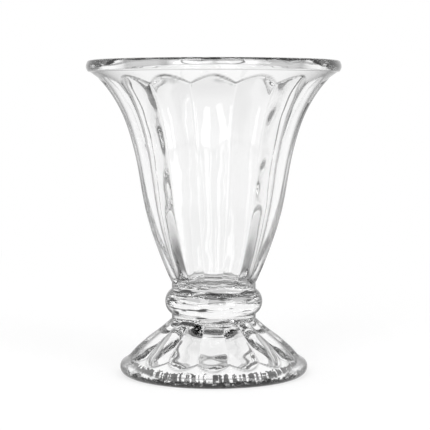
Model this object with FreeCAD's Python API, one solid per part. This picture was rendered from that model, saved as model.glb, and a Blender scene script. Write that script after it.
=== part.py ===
"""Tulip sundae glass, pressed in one piece of clear soda-lime glass.

The glass stands on the XY plane with its axis on Z. The bowl and the foot carry convex upright panels with
sharp grooves between them. The bowl's panels run out under the plain flare of the rim, and the foot's panels
run out on the plain shoulder of the bearing ring, in rounded ends. The stem is short, with one ring knop.
"""
import FreeCAD, Part
import math
import os

Vector = FreeCAD.Vector

os.makedirs("parts", exist_ok=True)

# Driving sizes in millimetres, angles in degrees
height = 127.0

panel_count = 16
groove_angle = -79.0
bowl_groove_depth = 0.033
foot_groove_depth = 0.042

rim_radius = 51.45
rim_band_height = 4.65
rim_face_bulge = 0.35
rim_face_middle_drop = 2.4
rim_top_corner_width = 1.2
rim_top_corner_height = 1.0
rim_bottom_corner_width = 1.35
rim_bottom_corner_height = 0.95
rim_lip_rounding = 2.45
rim_lip_end_angle = 140.0
flare_foot_height = 116.0
flare_foot_radius = 40.8

neck_radius = 17.15
neck_foot_height = 18.0
neck_inside_panels = 5.0
knop_projection = 2.7
knop_height = 29.6
knop_half_height = 5.0
knop_fillet = 0.8

foot_radius = 38.3
foot_bead_section_radius = 3.0
foot_bead_end_angle = 45.0
shoulder_inner_radius = 31.5
shoulder_inner_height = 8.9

# Heights and radii along the middle line of a panel, from its hidden lower end to its hidden upper end
bowl_panel_line = [
    (35.0, 16.1), (40.1, 18.5), (46.4, 21.15), (53.0, 23.6), (62.0, 26.5), (72.5, 28.9), (85.4, 31.1),
    (95.1, 33.4), (104.8, 36.7), (111.2, 40.0), (117.2, 44.2), (122.3, 48.9),
]
foot_panel_line = [
    (3.6, 37.6), (5.3, 36.4), (7.7, 34.2), (10.3, 31.9), (12.7, 29.3), (15.1, 26.5), (17.7, 22.95),
    (20.4, 19.6), (22.6, 17.15), (24.0, 15.6),
]

# Radii and heights of the bowl's inner wall and of the hollow under the foot
bowl_floor_height = 35.1
bowl_floor_points = [(7.3, 35.8), (12.6, 38.4)]
bowl_wall_points = [
    (12.6, 38.4), (15.0, 42.0), (17.4, 47.9), (19.9, 54.3), (22.8, 63.0), (25.2, 73.2), (27.6, 86.1),
    (30.1, 96.1), (33.6, 106.1), (37.2, 112.9), (41.7, 119.2), (45.6, 123.2), (47.9, 125.7), (50.0, 128.0),
]
hollow_top_height = 19.0
hollow_dome_points = [(7.3, 18.5), (12.0, 16.6)]
hollow_flank_points = [(22.2, 10.6), (30.8, 3.7)]
hollow_mouth_radius = 33.9
hollow_clearance = 1.0


def at(radius, level):
    """Point of a section in the XZ plane."""
    return Vector(radius, 0.0, level)


def line(start, end):
    return Part.LineSegment(at(*start), at(*end)).toShape()


def arc(start, middle, end):
    return Part.Arc(at(*start), at(*middle), at(*end)).toShape()


def rounded_corner(start, corner, end):
    """Arc from start to end that rounds off the corner between them."""
    share = 1.0 - math.sqrt(0.5)
    middle = [c + share * (s - c + e - c) for s, c, e in zip(start, corner, end)]
    return arc(start, middle, end)


def turned(edges):
    """Solid of revolution of a closed section about the axis."""
    face = Part.Face(Part.Wire(edges))
    return face.revolve(Vector(0, 0, 0), Vector(0, 0, 1), 360)


def on_circle(centre, section_radius, angle):
    turn = math.radians(angle)
    return (centre[0] + section_radius * math.cos(turn), centre[1] + section_radius * math.sin(turn))


def panelled_outline(middle_radius, groove_depth, level):
    """Closed outline of convex panels at one height: arcs that meet in the grooves."""
    groove_radius = middle_radius * (1.0 - groove_depth)
    step = 2.0 * math.pi / panel_count
    edges = []
    for panel in range(panel_count):
        start = math.radians(groove_angle) + panel * step
        corners = []
        for share, radius in ((0.0, groove_radius), (0.5, middle_radius), (1.0, groove_radius)):
            turn = start + share * step
            corners.append(Vector(radius * math.cos(turn), radius * math.sin(turn), level))
        edges.append(Part.Arc(*corners).toShape())
    return Part.Wire(edges)


def panelled_solid(panel_line, groove_depth):
    outlines = [panelled_outline(radius, groove_depth, level) for level, radius in panel_line]
    return Part.makeLoft(outlines, True, False)


def make_stem():
    """Bearing ring, plain shoulder, necks and ring knop, up into the lower ends of the bowl's panels."""
    knop_bottom = knop_height - knop_half_height
    knop_top = knop_height + knop_half_height
    top = knop_top + neck_inside_panels
    knop_radius = neck_radius + knop_projection
    bead_centre = (foot_radius - foot_bead_section_radius, foot_bead_section_radius)
    bearing_edge = (bead_centre[0], 0.0)
    bead_side = on_circle(bead_centre, foot_bead_section_radius, 0.0)
    bead_end = on_circle(bead_centre, foot_bead_section_radius, foot_bead_end_angle)
    stem = turned([
        line((0.0, 0.0), bearing_edge),
        arc(bearing_edge, bead_side, bead_end),
        line(bead_end, (shoulder_inner_radius, shoulder_inner_height)),
        line((shoulder_inner_radius, shoulder_inner_height), (neck_radius, neck_foot_height)),
        line((neck_radius, neck_foot_height), (neck_radius, knop_bottom)),
        arc((neck_radius, knop_bottom), (knop_radius, knop_height), (neck_radius, knop_top)),
        line((neck_radius, knop_top), (neck_radius, top)),
        line((neck_radius, top), (0.0, top)),
        line((0.0, top), (0.0, 0.0)),
    ])
    corners = []
    for edge in stem.Edges:
        box = edge.BoundBox
        is_level = box.ZLength < 0.001
        meets_knop = min(abs(box.ZMin - knop_bottom), abs(box.ZMin - knop_top)) < 0.001
        if is_level and meets_knop:
            corners.append(edge)
    return stem.makeFillet(knop_fillet, corners)


def make_rim():
    """Plain flare and the upright band of the rim above the bowl's panels, with rounded edges."""
    band_bottom = height - rim_band_height
    face_end_radius = rim_radius - rim_face_bulge
    lip_radius = face_end_radius - rim_top_corner_width
    flare_end = (face_end_radius - rim_bottom_corner_width, band_bottom)
    face_bottom = (face_end_radius, band_bottom + rim_bottom_corner_height)
    face_middle = (rim_radius, height - rim_face_middle_drop)
    face_top = (face_end_radius, height - rim_top_corner_height)
    lip = (lip_radius, height)
    lip_centre = (lip_radius, height - rim_lip_rounding)
    lip_middle = on_circle(lip_centre, rim_lip_rounding, (90.0 + rim_lip_end_angle) / 2.0)
    lip_end = on_circle(lip_centre, rim_lip_rounding, rim_lip_end_angle)
    return turned([
        line((0.0, flare_foot_height), (flare_foot_radius, flare_foot_height)),
        line((flare_foot_radius, flare_foot_height), flare_end),
        rounded_corner(flare_end, (face_end_radius, band_bottom), face_bottom),
        arc(face_bottom, face_middle, face_top),
        rounded_corner(face_top, (face_end_radius, height), lip),
        arc(lip, lip_middle, lip_end),
        line(lip_end, (0.0, lip_end[1])),
        line((0.0, lip_end[1]), (0.0, flare_foot_height)),
    ])


def smooth(points):
    curve = Part.BSplineCurve()
    curve.interpolate([at(*point) for point in points])
    return curve.toShape()


def make_bowl_space():
    """Inside of the bowl, as the plunger leaves it, out past the top of the rim."""
    top_radius, top = bowl_wall_points[-1]
    return turned([
        arc((0.0, bowl_floor_height), *bowl_floor_points),
        smooth(bowl_wall_points),
        line((top_radius, top), (0.0, top)),
        line((0.0, top), (0.0, bowl_floor_height)),
    ])


def make_foot_space():
    """Hollow under the foot."""
    below = -hollow_clearance
    return turned([
        arc((0.0, hollow_top_height), *hollow_dome_points),
        arc(hollow_dome_points[-1], *hollow_flank_points),
        line(hollow_flank_points[-1], (hollow_mouth_radius, 0.0)),
        line((hollow_mouth_radius, 0.0), (hollow_mouth_radius, below)),
        line((hollow_mouth_radius, below), (0.0, below)),
        line((0.0, below), (0.0, hollow_top_height)),
    ])


bowl = panelled_solid(bowl_panel_line, bowl_groove_depth)
foot = panelled_solid(foot_panel_line, foot_groove_depth)
glass = make_stem().fuse([foot, bowl, make_rim()])
glass = glass.cut(make_bowl_space()).cut(make_foot_space())
glass = glass.Solids[0]
glass.exportStep("parts/sundae_glass.step")

print("valid:", glass.isValid(), "volume in ml:", round(glass.Volume / 1000.0, 1))
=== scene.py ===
import bpy
import math
import numpy as np
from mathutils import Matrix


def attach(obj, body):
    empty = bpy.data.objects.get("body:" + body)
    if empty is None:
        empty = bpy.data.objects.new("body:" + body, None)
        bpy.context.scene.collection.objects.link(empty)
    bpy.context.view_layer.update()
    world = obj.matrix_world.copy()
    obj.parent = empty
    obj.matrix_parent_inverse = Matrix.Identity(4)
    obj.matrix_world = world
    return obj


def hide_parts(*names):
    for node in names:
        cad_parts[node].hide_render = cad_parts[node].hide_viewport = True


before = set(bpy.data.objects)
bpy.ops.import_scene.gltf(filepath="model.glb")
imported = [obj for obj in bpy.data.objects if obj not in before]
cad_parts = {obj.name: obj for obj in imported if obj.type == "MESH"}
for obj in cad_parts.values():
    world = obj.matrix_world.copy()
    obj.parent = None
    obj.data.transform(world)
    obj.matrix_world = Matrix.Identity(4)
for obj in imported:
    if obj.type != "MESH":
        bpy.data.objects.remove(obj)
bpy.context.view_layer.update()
scene = bpy.context.scene
mm = 0.001


# Camera. It stands in front of the glass, a little below its rim, and looks slightly down on the foot,
# with a long lens, as in the photograph.
camera_distance = 0.6
camera_height = 0.1103
camera_side = 0.0005
aim_height = 0.06463
film_width = 36.0
lens_length = 123.95
sight_end = 50.0
light_bounces = 24

camera = bpy.data.cameras.new("camera")
camera.sensor_width = film_width
camera.lens = lens_length
camera.clip_end = sight_end
camera_stand = bpy.data.objects.new("camera", camera)
camera_pitch = math.atan2(camera_height - aim_height, camera_distance)
camera_stand.location = (camera_side, -camera_distance, camera_height)
camera_stand.rotation_euler = (math.pi / 2 - camera_pitch, 0.0, 0.0)
scene.collection.objects.link(camera_stand)
scene.camera = camera_stand
scene.view_settings.view_transform = "Standard"
scene.cycles.max_bounces = light_bounces
scene.cycles.transmission_bounces = light_bounces
scene.cycles.glossy_bounces = light_bounces


# Section of the glass. The real glass is pressed in one piece from clear soda-lime glass: a ring mould
# and a split mould shape its outside, and a turned plunger shapes the inside of the bowl. The foot is
# hollow from below. All sizes are in millimetres, as in the part's source.
rim_face_bottom = (51.1, 123.3)
rim_face_middle = (51.45, 124.6)
rim_face_top = (51.1, 126.0)
rim_lower_corner = (50.65, 122.62)
rim_upper_corner = (50.76, 126.72)
rim_lip = (49.9, 127.0)
flare_end = (49.75, 122.35)
foot_bead_centre = (35.3, 3.0)
foot_bead_radius = 3.0
foot_bead_end = 45.0
neck_radius = 17.15
knop_radius = 19.85
knop_height = 29.6
knop_half_height = 5.0
knop_fillet = 0.8
bowl_groove_depth = 0.033
foot_groove_depth = 0.042

# Radii and heights of the plain body: its shoulder, its flare, and what the panels hide of it
foot_plain_line = [(37.42, 5.12), (31.5, 8.9), (17.15, 18.0), (17.15, 24.6)]
bowl_plain_line = [
    (17.15, 34.6), (17.15, 38.5), (24.0, 80.0), (33.0, 108.0), (40.8, 116.0), (49.75, 122.35),
]

# Radii and heights along the middle line of a panel
foot_panel_line = [
    (38.6, 3.0), (36.4, 5.3), (34.2, 7.7), (31.9, 10.3), (29.3, 12.7), (26.5, 15.1), (22.95, 17.7),
    (19.6, 20.4), (17.15, 22.6), (15.6, 24.0),
]
bowl_panel_line = [
    (16.1, 35.0), (18.5, 40.1), (21.15, 46.4), (23.6, 53.0), (26.5, 62.0), (28.9, 72.5), (31.1, 85.4),
    (33.4, 95.1), (36.7, 104.8), (40.0, 111.2), (44.2, 117.2), (48.9, 122.3),
]

# Radii and heights of the inside of the bowl and of the hollow under the foot
bowl_inside_line = [
    (49.9, 127.0), (49.0, 126.8), (47.9, 125.7), (45.6, 123.2), (41.7, 119.2), (37.2, 112.9), (33.6, 106.1),
    (30.1, 96.1), (27.6, 86.1), (25.2, 73.2), (22.8, 63.0), (19.9, 54.3), (17.4, 47.9), (15.0, 42.0),
    (12.6, 38.4), (7.3, 35.8), (0.0, 35.1),
]
hollow_line = [(0.0, 19.0), (7.3, 18.5), (12.0, 16.6), (22.2, 10.6), (30.8, 3.7), (33.0, 1.2), (33.9, 0.0)]

foot_panels_top = 22.9
knop_side_top = 42.0
run_out_bottom = 112.0
fine_step = 0.42
foot_step = 0.55
corner_step = 0.25
crease_step = 0.17
plain_step = 1.5
no_panel = -1.0


def smooth_line(points, step):
    """Points a step apart on the smooth curve (natural cubic spline) through a few points."""
    knots = np.array(points, dtype=float)
    chords = np.hypot(*np.diff(knots, axis=0).T)
    along = np.concatenate([[0.0], np.cumsum(chords)])
    system = np.eye(len(knots))
    bend = np.zeros_like(knots)
    for i in range(1, len(knots) - 1):
        system[i, i - 1:i + 2] = chords[i - 1], 2.0 * (chords[i - 1] + chords[i]), chords[i]
        bend[i] = 6.0 * ((knots[i + 1] - knots[i]) / chords[i] - (knots[i] - knots[i - 1]) / chords[i - 1])
    bend = np.linalg.solve(system, bend)
    count = int(math.ceil(along[-1] / step)) + 1
    place = np.linspace(0.0, along[-1], count)
    piece = np.clip(np.searchsorted(along, place, side="right") - 1, 0, len(chords) - 1)
    span = chords[piece][:, None]
    ahead = ((along[piece + 1] - place) / chords[piece])[:, None]
    behind = 1.0 - ahead
    return (
        ahead * knots[piece] + behind * knots[piece + 1]
        + ((ahead**3 - ahead) * bend[piece] + (behind**3 - behind) * bend[piece + 1]) * span**2 / 6.0
    )


def arc_line(centre, radius, start_angle, end_angle, step):
    """Points about a step apart on an arc, with its angles in degrees."""
    count = int(math.ceil(abs(math.radians(end_angle - start_angle)) * radius / step)) + 1
    turns = np.radians(np.linspace(start_angle, end_angle, count))
    return np.column_stack([centre[0] + radius * np.cos(turns), centre[1] + radius * np.sin(turns)])


def arc_through(start, middle, end, step):
    """Points a step apart on the arc through three points, whose centre lies equally far from all three."""
    points = np.array([start, middle, end])
    squares = (points**2).sum(axis=1)
    centre = np.linalg.solve(2.0 * (points[1:] - points[0]), squares[1:] - squares[0])
    start_angle, end_angle = [
        math.degrees(math.atan2(y - centre[1], x - centre[0])) for x, y in (start, end)]
    return arc_line(centre, math.dist(centre, start), start_angle, end_angle, step)


def plain_rows(points):
    """Rows of the section where the body is plain: height, plain radius, panel radius, groove depth."""
    return [(level, radius, no_panel, 0.0) for radius, level in points]


def panelled_rows(panel_line, plain_line, groove_depth, bottom, top, step):
    """Rows where panels stand out of the plain body, with both radii at each height."""
    plain_radii, plain_levels = np.array(plain_line).T
    rows = []
    for crest, level in smooth_line(panel_line, step):
        if bottom < level < top:
            rows.append((level, np.interp(level, plain_levels, plain_radii), crest, groove_depth))
    return rows


knop_bulge = knop_radius - neck_radius
knop_arc_radius = (knop_bulge**2 + knop_half_height**2) / (2.0 * knop_bulge)
knop_arc_middle = knop_radius - knop_arc_radius
fillet_middle = neck_radius + knop_fillet
fillet_rise = math.sqrt((knop_arc_radius + knop_fillet)**2 - (fillet_middle - knop_arc_middle)**2)
fillet_turn = math.degrees(math.atan2(fillet_rise, fillet_middle - knop_arc_middle))

rows = plain_rows(smooth_line(hollow_line, plain_step)[:-1])
rows += plain_rows(arc_line(foot_bead_centre, foot_bead_radius, -90.0, foot_bead_end, fine_step))
rows += panelled_rows(
    foot_panel_line, foot_plain_line, foot_groove_depth, foot_plain_line[0][1], foot_panels_top, foot_step)
rows += plain_rows(arc_line(
    (fillet_middle, knop_height - fillet_rise), knop_fillet, 180.0, 180.0 - fillet_turn, fine_step))
rows += plain_rows(arc_line(
    (knop_arc_middle, knop_height), knop_arc_radius, -fillet_turn, fillet_turn, fine_step))
rows += plain_rows(arc_line(
    (fillet_middle, knop_height + fillet_rise), knop_fillet, 180.0 + fillet_turn, 180.0, fine_step))
for bottom, top, step in (
        (knop_height + fillet_rise, knop_side_top, fine_step), (knop_side_top, run_out_bottom, plain_step),
        (run_out_bottom, flare_end[1], crease_step)):
    rows += panelled_rows(bowl_panel_line, bowl_plain_line, bowl_groove_depth, bottom, top, step)
rows += plain_rows(arc_through(flare_end, rim_lower_corner, rim_face_bottom, corner_step))
rows += plain_rows(arc_through(rim_face_bottom, rim_face_middle, rim_face_top, fine_step)[1:])
rows += plain_rows(arc_through(rim_face_top, rim_upper_corner, rim_lip, corner_step)[1:])
rows += plain_rows(smooth_line(bowl_inside_line, plain_step)[1:])

section = bpy.data.meshes.new("glass_section")
section_points = [(max(plain, crest) * mm, 0.0, level * mm) for level, plain, crest, depth in rows]
section.from_pydata(section_points, [(i, i + 1) for i in range(len(rows) - 1)], [])
for name, values, unit in zip(("level", "plain", "crest", "depth"), zip(*rows), (mm, mm, mm, 1.0)):
    attribute = section.attributes.new(name, "FLOAT", "POINT")
    attribute.data.foreach_set("value", [value * unit for value in values])


# Body of the glass. The mould presses sixteen convex panels with narrow grooves between them into bowl
# and foot, and each panel runs out in a rounded end where the plain body stands out further. The tree
# turns the section about the axis and gives each point the larger of its plain and its panel radius.
panel_count = 16
steps_per_panel = 16
groove_angle = -79.0
groove_rounding = 0.05
groove_bunching = 0.7
run_out_blend = 0.2 * mm
crease_width = 0.4 * mm
crease_depth = 0.08 * mm
merge_distance = 0.002 * mm

panels_tree = bpy.data.node_groups.new("pressed_panels", "GeometryNodeTree")
for name, kind in (
        ("Section", "Geometry"), ("Panels", "Int"), ("Steps Per Panel", "Int"), ("Groove Angle", "Float"),
        ("Groove Rounding", "Float"), ("Groove Bunching", "Float"), ("Run Out Blend", "Float"),
        ("Crease Width", "Float"), ("Crease Depth", "Float"), ("Merge Distance", "Float"),
        ("Glass", "Material")):
    panels_tree.interface.new_socket(name, in_out="INPUT", socket_type="NodeSocket" + kind)
panels_tree.interface.new_socket("Body", in_out="OUTPUT", socket_type="NodeSocketGeometry")


def add_node(tree, kind, sources=(), **settings):
    """Node with its settings, and its inputs fed in order by values or by other nodes' outputs."""
    node = tree.nodes.new(kind)
    for name, value in settings.items():
        setattr(node, name, value)
    for socket, source in zip(node.inputs, sources):
        if isinstance(source, bpy.types.NodeSocket):
            tree.links.new(source, socket)
        elif source is not None:
            socket.default_value = source
    return node


def calculate(tree, operation, *sources):
    """Output of one Math node."""
    return add_node(tree, "ShaderNodeMath", sources, operation=operation).outputs[0]


def ramp(tree, value, start, end, low=0.0, high=1.0):
    """Smooth change from a low to a high value while a source goes from start to end."""
    node = add_node(
        tree, "ShaderNodeMapRange", (value, start, end, low, high), interpolation_type="SMOOTHSTEP")
    return node.outputs[0]


def read_attribute(tree, name):
    """Value that a named attribute has at each point."""
    node = add_node(tree, "GeometryNodeInputNamedAttribute", (name,), data_type="FLOAT")
    return node.outputs["Attribute"]


# A circle of points, counted in panels and drawn together at the grooves, carries the section round
given = panels_tree.nodes.new("NodeGroupInput").outputs
circle_points = calculate(panels_tree, "MULTIPLY", given["Panels"], given["Steps Per Panel"])
circle = add_node(panels_tree, "GeometryNodeCurvePrimitiveCircle", (circle_points,))
point_number = add_node(panels_tree, "GeometryNodeInputIndex").outputs[0]
panel_place = calculate(panels_tree, "DIVIDE", point_number, given["Steps Per Panel"])
bunching = calculate(panels_tree, "SINE", calculate(panels_tree, "MULTIPLY", panel_place, 2.0 * math.pi))
bunching = calculate(panels_tree, "MULTIPLY", bunching, given["Groove Bunching"])
bunching = calculate(panels_tree, "DIVIDE", bunching, 2.0 * math.pi)
panel_place = calculate(panels_tree, "SUBTRACT", panel_place, bunching)
circle = add_node(
    panels_tree, "GeometryNodeStoreNamedAttribute", (circle.outputs[0], None, "panel_place", panel_place),
    data_type="FLOAT", domain="POINT")
profile = add_node(panels_tree, "GeometryNodeMeshToCurve", (given["Section"],))
body = add_node(panels_tree, "GeometryNodeCurveToMesh")
panels_tree.links.new(circle.outputs[0], body.inputs["Curve"])
panels_tree.links.new(profile.outputs[0], body.inputs["Profile Curve"])

# The panel's radius falls from its middle to the grooves, whose bottoms are rounded
panel_place = read_attribute(panels_tree, "panel_place")
across = calculate(panels_tree, "FRACT", panel_place)
from_middle = calculate(panels_tree, "ABSOLUTE", calculate(panels_tree, "MULTIPLY_ADD", across, 2.0, -1.0))
from_groove = calculate(panels_tree, "SUBTRACT", 1.0, from_middle)
rounded = calculate(panels_tree, "MULTIPLY", given["Groove Rounding"], given["Groove Rounding"])
rounded = calculate(panels_tree, "MULTIPLY_ADD", from_groove, from_groove, rounded)
rounded = calculate(panels_tree, "SQRT", rounded)
rounded = calculate(panels_tree, "SUBTRACT", rounded, given["Groove Rounding"])
fall = calculate(panels_tree, "POWER", calculate(panels_tree, "SUBTRACT", 1.0, rounded), 2.0)
fall = calculate(panels_tree, "MULTIPLY", fall, read_attribute(panels_tree, "depth"))
panel_share = calculate(panels_tree, "SUBTRACT", 1.0, fall)
panel_radius = calculate(panels_tree, "MULTIPLY", read_attribute(panels_tree, "crest"), panel_share)

# The larger radius counts, and where the two are equal the panel runs out in a crease
radius = calculate(
    panels_tree, "SMOOTH_MAX", read_attribute(panels_tree, "plain"), panel_radius, given["Run Out Blend"])
stand_out = calculate(panels_tree, "SUBTRACT", read_attribute(panels_tree, "plain"), panel_radius)
from_run_out = calculate(panels_tree, "ABSOLUTE", stand_out)
crease = ramp(panels_tree, from_run_out, 0.0, given["Crease Width"], 1.0, 0.0)
sunk = calculate(panels_tree, "MULTIPLY", crease, given["Crease Depth"])
radius = calculate(panels_tree, "SUBTRACT", radius, sunk)

# Each point goes to its radius, its turn about the axis and its height
turn = calculate(panels_tree, "DIVIDE", panel_place, given["Panels"])
turn = calculate(panels_tree, "MULTIPLY_ADD", turn, 2.0 * math.pi, given["Groove Angle"])
place = add_node(panels_tree, "ShaderNodeCombineXYZ", (
    calculate(panels_tree, "MULTIPLY", radius, calculate(panels_tree, "COSINE", turn)),
    calculate(panels_tree, "MULTIPLY", radius, calculate(panels_tree, "SINE", turn)),
    read_attribute(panels_tree, "level"),
))
# The crease is kept on the mesh, and the material paints a dark line of shade along it
marked = add_node(
    panels_tree, "GeometryNodeStoreNamedAttribute", (body.outputs[0], None, "crease", crease),
    data_type="FLOAT", domain="POINT")
placed = add_node(panels_tree, "GeometryNodeSetPosition", (marked.outputs[0], None, place.outputs[0]))
outward = add_node(panels_tree, "GeometryNodeFlipFaces", (placed.outputs[0],))
closed = add_node(panels_tree, "GeometryNodeMergeByDistance", (outward.outputs[0],))
panels_tree.links.new(given["Merge Distance"], closed.inputs["Distance"])
softened = add_node(panels_tree, "GeometryNodeSetShadeSmooth", (closed.outputs[0],))
realized = add_node(panels_tree, "GeometryNodeRealizeInstances", (softened.outputs[0],))
finished = add_node(panels_tree, "GeometryNodeSetMaterial", (realized.outputs[0], None, given["Glass"]))
result = panels_tree.nodes.new("NodeGroupOutput")
panels_tree.links.new(finished.outputs[0], result.inputs["Body"])


# Surface of the glass. It is clear and fire-polished, with no colour of its own, and its colour is painted
# dark as shade where it is seen edge on. The bearing ring is stippled and has painted specks of shade, the
# mould has left level wrinkles round the stem, with painted streaks of shade on them, and a crease whose
# line is painted dark as shade, and the whole surface is slightly wavy.
crease_patch = 8.0 * mm
crease_patch_start = 0.35
crease_patch_end = 0.65
crease_pale = 0.5
crease_dark = 1.0
ring_height = 6.0 * mm
shade_speck_size = 1.4 * mm
shade_speck_start = 0.27
shade_speck_full = 0.31
stipple_size = 1.8 * mm
stipple_depth = 0.12 * mm
stem_bottom = 17.0 * mm
stem_top = 39.0 * mm
stem_fade = 3.0 * mm
wrinkle_length = 9.0 * mm
wrinkle_height = 1.6 * mm
wrinkle_depth = 0.12 * mm
shade_streak_start = 0.58
shade_streak_full = 0.66
wave_size = 16.0 * mm
wave_depth = 0.4 * mm
edge_start = 0.5
edge_end = 0.8
edge_shade_tone = 0.01
body_tone = 0.965
soft_detail = 1.0
rough_detail = 2.0
glass_index = 1.52

glass_material = bpy.data.materials.new("clear_pressed_glass")
glass_material.use_nodes = True
melt = glass_material.node_tree
shader = melt.nodes["Principled BSDF"]
spot = add_node(melt, "ShaderNodeTexCoord").outputs["Object"]
spot_height = add_node(melt, "ShaderNodeSeparateXYZ", (spot,)).outputs["Z"]


def noise(tree, place, size, detail):
    """Soft random pattern whose spots have about a given size."""
    return add_node(tree, "ShaderNodeTexNoise", (place, None, 1.0 / size, detail)).outputs["Fac"]


# Where the ring and the stem are, and the level wrinkles, which are a noise squeezed in height
on_ring = ramp(melt, spot_height, 0.0, ring_height, 1.0, 0.0)
on_stem = calculate(
    melt, "MULTIPLY", ramp(melt, spot_height, stem_bottom, stem_bottom + stem_fade),
    ramp(melt, spot_height, stem_top - stem_fade, stem_top, 1.0, 0.0))
squeeze = (wrinkle_height / wrinkle_length, wrinkle_height / wrinkle_length, 1.0)
squeezed = add_node(melt, "ShaderNodeVectorMath", (spot, squeeze), operation="MULTIPLY").outputs[0]
wrinkles = noise(melt, squeezed, wrinkle_height, soft_detail)

# Painted shade in the colour of the glass: specks on the ring, streaks on the stem, a line along the
# creases, and darkening where it is seen edge on
# Painted shade: dark specks in the colour of the bearing ring
ring_shade_specks = calculate(melt, "MULTIPLY", on_ring, noise(melt, spot, shade_speck_size, rough_detail))
ring_shade_specks = ramp(melt, ring_shade_specks, shade_speck_start, shade_speck_full)
# Painted shade: dark streaks in the colour of the stem, where the wrinkles rise
stem_shade_streaks = calculate(melt, "MULTIPLY", ramp(melt, wrinkles, shade_streak_start, shade_streak_full), on_stem)
# Painted shade: a dark line along the creases, paler and darker in patches
patches = noise(melt, spot, crease_patch, soft_detail)
crease_painted_shade = ramp(melt, patches, crease_patch_start, crease_patch_end, crease_pale, crease_dark)
crease_line = add_node(melt, "ShaderNodeAttribute", attribute_name="crease").outputs["Fac"]
crease_painted_shade = calculate(melt, "MULTIPLY", crease_line, crease_painted_shade)
# Painted shade: the colour turns dark where the glass is seen edge on
facing = add_node(melt, "ShaderNodeLayerWeight").outputs["Facing"]
painted_shade_share = ramp(melt, facing, edge_start, edge_end)
for shade_mark in (ring_shade_specks, stem_shade_streaks, crease_painted_shade):
    painted_shade_share = calculate(melt, "MAXIMUM", painted_shade_share, shade_mark)
tone = add_node(melt, "ShaderNodeMapRange", (painted_shade_share, 0.0, 1.0, body_tone, edge_shade_tone))
melt.links.new(tone.outputs[0], shader.inputs["Base Color"])

# Relief of the surface: waves all over, stipple on the ring and wrinkles on the stem
relief = calculate(melt, "MULTIPLY", noise(melt, spot, wave_size, soft_detail), wave_depth)
stipple = noise(melt, spot, stipple_size, rough_detail)
for texture, share, depth in ((stipple, on_ring, stipple_depth), (wrinkles, on_stem, wrinkle_depth)):
    relief = calculate(melt, "MULTIPLY_ADD", calculate(melt, "MULTIPLY", texture, share), depth, relief)
bump = add_node(melt, "ShaderNodeBump")
bump.inputs["Distance"].default_value = 1.0
melt.links.new(relief, bump.inputs["Height"])
melt.links.new(bump.outputs[0], shader.inputs["Normal"])
shader.inputs["Roughness"].default_value = 0.0
shader.inputs["IOR"].default_value = glass_index
shader.inputs["Transmission Weight"].default_value = 1.0


# Finished glass. The tree presses the section into one mesh, in metres, which stands on the table in the
# place of the solid's own mesh. Nothing is fixed to it.
blank = bpy.data.objects.new("glass_section", section)
scene.collection.objects.link(blank)
press = blank.modifiers.new("pressed_panels", "NODES")
press.node_group = panels_tree
sizes = {
    "Panels": panel_count,
    "Steps Per Panel": steps_per_panel,
    "Groove Angle": math.radians(groove_angle),
    "Groove Rounding": groove_rounding,
    "Groove Bunching": groove_bunching,
    "Run Out Blend": run_out_blend,
    "Crease Width": crease_width,
    "Crease Depth": crease_depth,
    "Merge Distance": merge_distance,
    "Glass": glass_material,
}
for item in panels_tree.interface.items_tree:
    if item.name in sizes:
        press[item.identifier] = sizes[item.name]
bpy.context.view_layer.update()
pressed = blank.evaluated_get(bpy.context.evaluated_depsgraph_get())
glass_mesh = bpy.data.meshes.new_from_object(pressed)
glass_mesh.name = "pressed_glass"
bpy.data.objects.remove(blank)
glass = bpy.data.objects.new("pressed_glass", glass_mesh)
scene.collection.objects.link(glass)
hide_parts("sundae_glass")
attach(glass, "root")


# Table. The glass stands on a wide white table. Seen through the glass, the table close round it is
# shaded, which draws the dark streaks on rim and knop.
floor_size = 40.0
floor_colour = (0.95, 0.95, 0.95, 1.0)
floor_glow_colour = (1.0, 1.0, 1.0, 1.0)
near_glow = 0.7
shadow_reach = 0.12
glow_reach = 0.5
shade_light = 0.6
shade_start = 0.05
shade_start_edge = 0.02
shade_end = 0.2
shade_end_edge = 0.08
bounces_kept = 5.0
bounces_lost = 7.5


def seen_in_glass(tree):
    """Light path node of a tree, and 1 for rays that come out of the glass or off it."""
    rays = add_node(tree, "ShaderNodeLightPath").outputs
    return rays, calculate(tree, "MAXIMUM", rays["Is Glossy Ray"], rays["Is Transmission Ray"])


def light_left(tree, rays, head_start):
    """Share of the light that is left to a ray after many turns inside the thick glass."""
    node = add_node(tree, "ShaderNodeMapRange", (
        rays["Ray Depth"], bounces_kept + head_start, bounces_lost + head_start, 1.0, 0.0))
    return node.outputs[0]


floor_mesh = bpy.data.meshes.new("floor")
floor_half = floor_size / 2.0
floor_corners = [(x * floor_half, y * floor_half, 0.0) for x, y in ((-1, -1), (1, -1), (1, 1), (-1, 1))]
floor_mesh.from_pydata(floor_corners, [], [(0, 1, 2, 3)])
floor = bpy.data.objects.new("floor", floor_mesh)
floor_material = bpy.data.materials.new("white_table")
floor_material.use_nodes = True
table = floor_material.node_tree
paint = table.nodes["Principled BSDF"]
paint.inputs["Base Color"].default_value = floor_colour
paint.inputs["Roughness"].default_value = 1.0
paint.inputs["Specular IOR Level"].default_value = 0.0
rays, glass_rays = seen_in_glass(table)
seen = calculate(table, "MAXIMUM", glass_rays, rays["Is Camera Ray"])
place = add_node(table, "ShaderNodeTexCoord").outputs["Object"]
from_glass = add_node(table, "ShaderNodeVectorMath", (place,), operation="LENGTH").outputs["Value"]
shaded = calculate(
    table, "MULTIPLY", ramp(table, from_glass, shade_start, shade_start + shade_start_edge),
    ramp(table, from_glass, shade_end - shade_end_edge, shade_end, 1.0, 0.0))
shaded = calculate(table, "MULTIPLY", shaded, glass_rays)
table_light = calculate(table, "MULTIPLY_ADD", shaded, shade_light - 1.0, 1.0)
table_light = calculate(table, "MULTIPLY", table_light, light_left(table, rays, 0.0))
glow = add_node(table, "ShaderNodeEmission", (floor_glow_colour, table_light))
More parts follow.
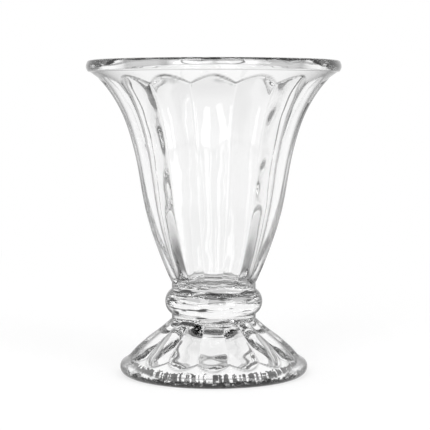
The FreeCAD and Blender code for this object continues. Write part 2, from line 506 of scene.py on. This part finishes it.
shadow_free = calculate(
    table, "MAXIMUM", ramp(table, from_glass, shadow_reach, glow_reach, near_glow, 1.0), glass_rays)
lit = add_node(table, "ShaderNodeMixShader", (
    calculate(table, "MULTIPLY", seen, shadow_free), paint.outputs[0], glow.outputs[0]))
table.links.new(lit.outputs[0], table.nodes["Material Output"].inputs["Surface"])
floor_mesh.materials.append(floor_material)
scene.collection.objects.link(floor)


# Studio. The glass is photographed in a white room with a dark patch of ceiling right above it, between
# two tall soft boxes that stand in front of it on both sides of the camera, out of its sight.
room_light = 0.8
ceiling_light = 0.0
ceiling_start = 0.85
ceiling_full = 1.0
world_head_start = 1.0
soft_box_radiance = 4.0
soft_box_distance = 1.5
soft_box_height = 2.4
soft_boxes = [("soft_box_left", -24.0, 0.64), ("soft_box_right", 40.0, 0.53)]

world = bpy.data.worlds.new("studio")
scene.world = world
world.use_nodes = True
studio = world.node_tree
background = studio.nodes["Background"]
direction = add_node(studio, "ShaderNodeTexCoord").outputs["Generated"]
elevation = add_node(studio, "ShaderNodeSeparateXYZ", (direction,)).outputs["Z"]
room = ramp(studio, elevation, ceiling_start, ceiling_full, 1.0, ceiling_light)
rays, glass_rays = seen_in_glass(studio)
plain_light = calculate(studio, "MULTIPLY_ADD", rays["Is Camera Ray"], 1.0 - room_light, room_light)
light = add_node(studio, "ShaderNodeMix", (glass_rays, None, plain_light, room), data_type="FLOAT")
light = calculate(studio, "MULTIPLY", light.outputs[0], light_left(studio, rays, world_head_start))
studio.links.new(light, background.inputs["Color"])

for name, box_azimuth, box_width in soft_boxes:
    lamp = bpy.data.lights.new(name, "AREA")
    lamp.shape = "RECTANGLE"
    lamp.size = box_width
    lamp.size_y = soft_box_height
    lamp.energy = soft_box_radiance * math.pi * box_width * soft_box_height
    lamp_stand = bpy.data.objects.new(name, lamp)
    side = math.radians(box_azimuth)
    lamp_stand.location = (
        soft_box_distance * math.sin(side), -soft_box_distance * math.cos(side), soft_box_height / 2.0)
    lamp_stand.rotation_euler = (math.pi / 2, 0.0, side)
    lamp_stand.visible_camera = False
    scene.collection.objects.link(lamp_stand)
